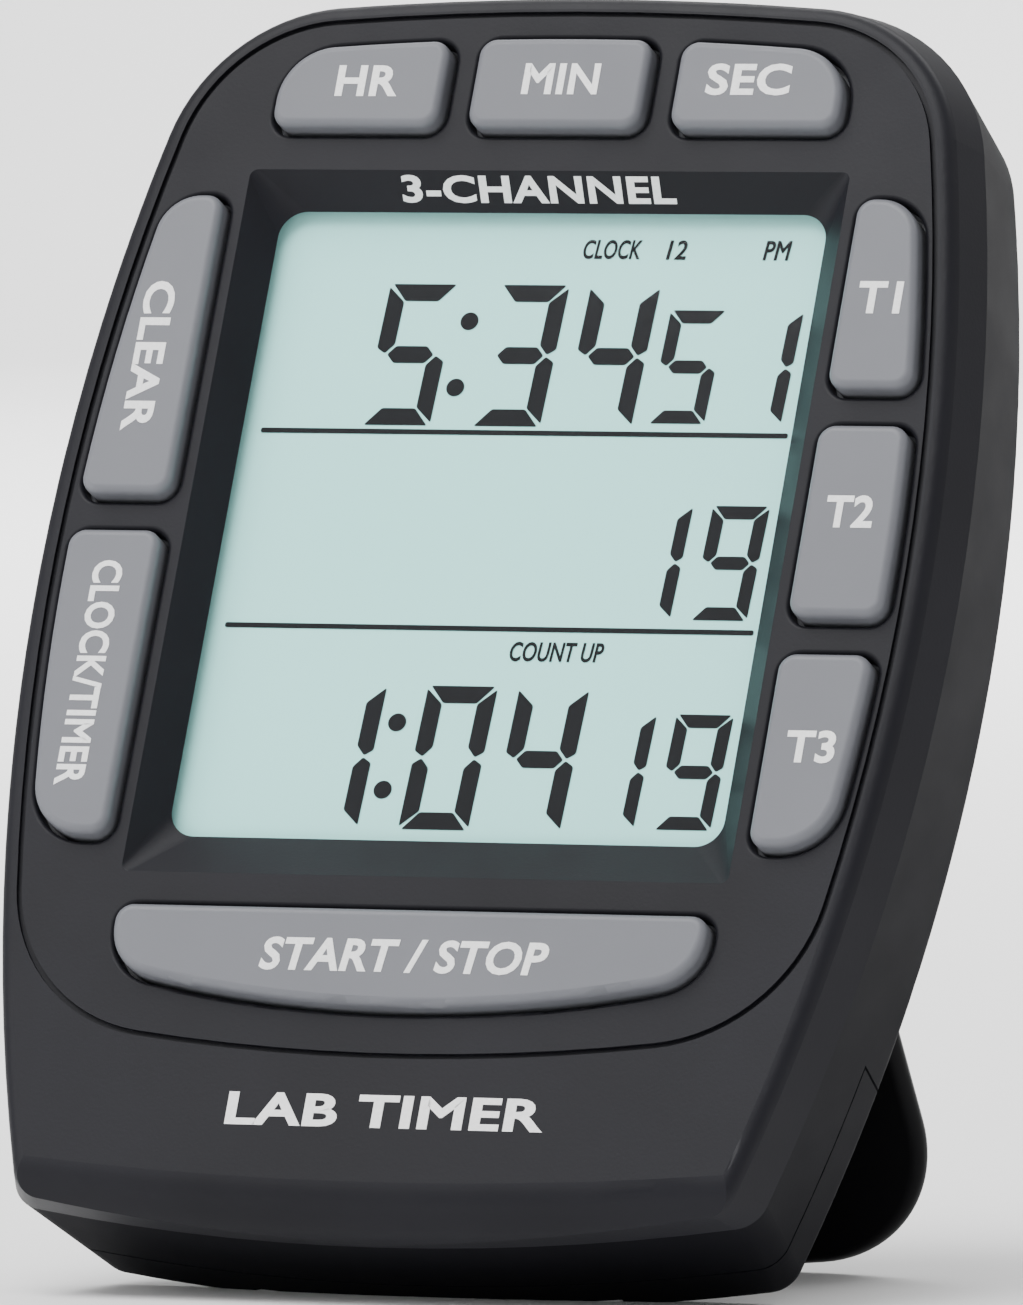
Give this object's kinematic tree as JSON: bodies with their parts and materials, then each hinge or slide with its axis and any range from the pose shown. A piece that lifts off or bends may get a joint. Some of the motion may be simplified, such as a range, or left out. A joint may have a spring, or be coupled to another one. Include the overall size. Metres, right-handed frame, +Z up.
{
  "type": "lab timer",
  "caption": "Handheld digital bench timer with a three-line display, soft-edged keys and a fold-out stand, leaning back on the stand.",
  "frame": {"origin": "middle of the bottom of the object's box, on the table between the case's foot and the stand's foot", "axes": "+Z up, +X to the right of someone who reads the display, -Y towards that person"},
  "size_m": [0.07, 0.0532, 0.0905],
  "materials": {
    "case_front_plastic": "fine spark texture",
    "case_rear_plastic": "fine spark texture",
    "stand_plastic": "satin",
    "key_plastic": "satin",
    "clear_window": "polished clear acrylic",
    "lcd_glass": "polarised display glass",
    "lcd_reflector": "matt reflector film",
    "white_plastic": "moulded",
    "contact_rubber": "striped",
    "board_laminate": "solder mask",
    "black_resin": "poured resin",
    "plated_steel": "nickel plated",
    "ceramic_chip": "fired",
    "keypad_rubber": "moulded",
    "carbon_rubber": "matt",
    "cell_jacket": "printed sleeve without lettering",
    "red_insulation": "wire sleeve",
    "black_insulation": "wire sleeve",
    "brass": "rolled sheet",
    "buzzer_ceramic": "silvered",
    "plated_magnet": "nickel plated"
  },
  "bodies": {
    "case": {"front_case": "case_front_plastic", "rear_case": "case_rear_plastic", "window_lens": "clear_window", "lcd_front_glass": "lcd_glass", "lcd_rear_glass": "lcd_glass", "lcd_reflector": "lcd_reflector", "lcd_holder": "white_plastic", "lcd_contact_strip": "contact_rubber", "circuit_board": "board_laminate", "chip_resin": "black_resin", "crystal": "plated_steel", "board_parts": "ceramic_chip", "keypad_mat": "keypad_rubber", "battery_cell": "cell_jacket", "positive_contact": "plated_steel", "spring_contact": "plated_steel", "battery_lead_red": "red_insulation", "battery_lead_black": "black_insulation", "buzzer_plate": "brass", "buzzer_ceramic": "buzzer_ceramic", "buzzer_lead_red": "red_insulation", "buzzer_lead_black": "black_insulation", "magnets": "plated_magnet", "case_screws": "plated_steel", "board_screws": "plated_steel"},
    "battery_door": {"battery_door": "case_rear_plastic"},
    "stand": {"stand": "stand_plastic"},
    "key_hours": {"key_hours": "key_plastic", "pill_hours": "carbon_rubber"},
    "key_minutes": {"key_minutes": "key_plastic", "pill_minutes": "carbon_rubber"},
    "key_seconds": {"key_seconds": "key_plastic", "pill_seconds": "carbon_rubber"},
    "key_clear": {"key_clear": "key_plastic", "pill_clear": "carbon_rubber"},
    "key_clock_timer": {"key_clock_timer": "key_plastic", "pill_clock_timer": "carbon_rubber"},
    "key_t1": {"key_t1": "key_plastic", "pill_t1": "carbon_rubber"},
    "key_t2": {"key_t2": "key_plastic", "pill_t2": "carbon_rubber"},
    "key_t3": {"key_t3": "key_plastic", "pill_t3": "carbon_rubber"},
    "key_start_stop": {"key_start_stop": "key_plastic", "pill_start_stop": "carbon_rubber"}
  },
  "joints": [
    {"name": "key_hours_press", "type": "slide", "parent": "case", "child": "key_hours", "axis": [0, 0.9063, -0.4226], "range_m": [0, 0.00075], "stiffness_N_per_m": 700, "springref_m": -0.0006, "deforming": ["keypad_mat"]},
    {"name": "key_minutes_press", "type": "slide", "parent": "case", "child": "key_minutes", "axis": [0, 0.9063, -0.4226], "range_m": [0, 0.00075], "stiffness_N_per_m": 700, "springref_m": -0.0006, "deforming": ["keypad_mat"]},
    {"name": "key_seconds_press", "type": "slide", "parent": "case", "child": "key_seconds", "axis": [0, 0.9063, -0.4226], "range_m": [0, 0.00075], "stiffness_N_per_m": 700, "springref_m": -0.0006, "deforming": ["keypad_mat"]},
    {"name": "key_clear_press", "type": "slide", "parent": "case", "child": "key_clear", "axis": [0, 0.9063, -0.4226], "range_m": [0, 0.00075], "stiffness_N_per_m": 700, "springref_m": -0.0006, "deforming": ["keypad_mat"]},
    {"name": "key_clock_timer_press", "type": "slide", "parent": "case", "child": "key_clock_timer", "axis": [0, 0.9063, -0.4226], "range_m": [0, 0.00075], "stiffness_N_per_m": 700, "springref_m": -0.0006, "deforming": ["keypad_mat"]},
    {"name": "key_t1_press", "type": "slide", "parent": "case", "child": "key_t1", "axis": [0, 0.9063, -0.4226], "range_m": [0, 0.00075], "stiffness_N_per_m": 700, "springref_m": -0.0006, "deforming": ["keypad_mat"]},
    {"name": "key_t2_press", "type": "slide", "parent": "case", "child": "key_t2", "axis": [0, 0.9063, -0.4226], "range_m": [0, 0.00075], "stiffness_N_per_m": 700, "springref_m": -0.0006, "deforming": ["keypad_mat"]},
    {"name": "key_t3_press", "type": "slide", "parent": "case", "child": "key_t3", "axis": [0, 0.9063, -0.4226], "range_m": [0, 0.00075], "stiffness_N_per_m": 700, "springref_m": -0.0006, "deforming": ["keypad_mat"]},
    {"name": "key_start_stop_press", "type": "slide", "parent": "case", "child": "key_start_stop", "axis": [0, 0.9063, -0.4226], "range_m": [0, 0.00075], "stiffness_N_per_m": 700, "springref_m": -0.0006, "deforming": ["keypad_mat"]},
    {"name": "stand_hinge", "type": "hinge", "parent": "case", "child": "stand", "pos_m": [0, 0.00314, 0.03543], "axis": [1, 0, 0], "range_deg": [-47, 0]},
    {"name": "door_slide", "type": "slide", "parent": "case", "child": "battery_door", "axis": [0, -0.4226, -0.9063], "range_m": [0, 0.02]}
  ]
}
